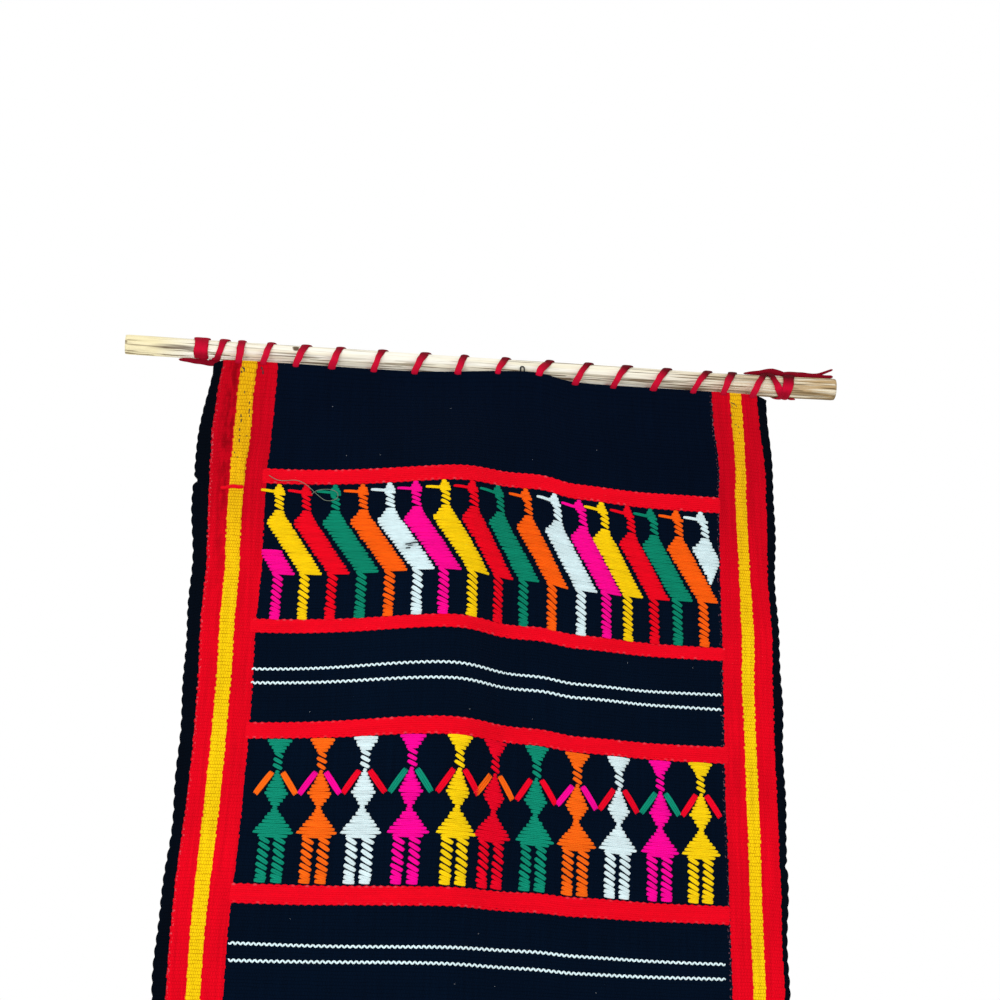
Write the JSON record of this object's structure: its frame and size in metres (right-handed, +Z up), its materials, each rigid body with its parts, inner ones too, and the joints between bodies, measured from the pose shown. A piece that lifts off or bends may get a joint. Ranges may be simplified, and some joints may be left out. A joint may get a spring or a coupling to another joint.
{
  "type": "woven wall tapestry on a hanging stick",
  "caption": "Banded hand-woven wall tapestry with striped selvedges and a soft belly, whip-stitched with yarn to a plain wooden stick that rests on wall hooks.",
  "frame": {"origin": "on the stick's axis, above the middle of the cloth, where the two wall hooks hold the part up between them", "axes": "+Z up along the hanging cloth, +Y from the cloth's face towards the wall, +X along the stick to the viewer's right"},
  "size_m": [0.3232, 0.0376, 0.3499],
  "materials": {
    "cloth": "warp-faced woven cotton, near black with red and yellow stripes and bright brocade",
    "stick": "bare pale split wood",
    "lashing": "soft plied crimson yarn",
    "staple": "dull dark wire"
  },
  "bodies": {
    "root": {"cloth": "cloth", "stick": "stick", "lashing": "lashing", "staple": "staple"}
  },
  "joints": []
}
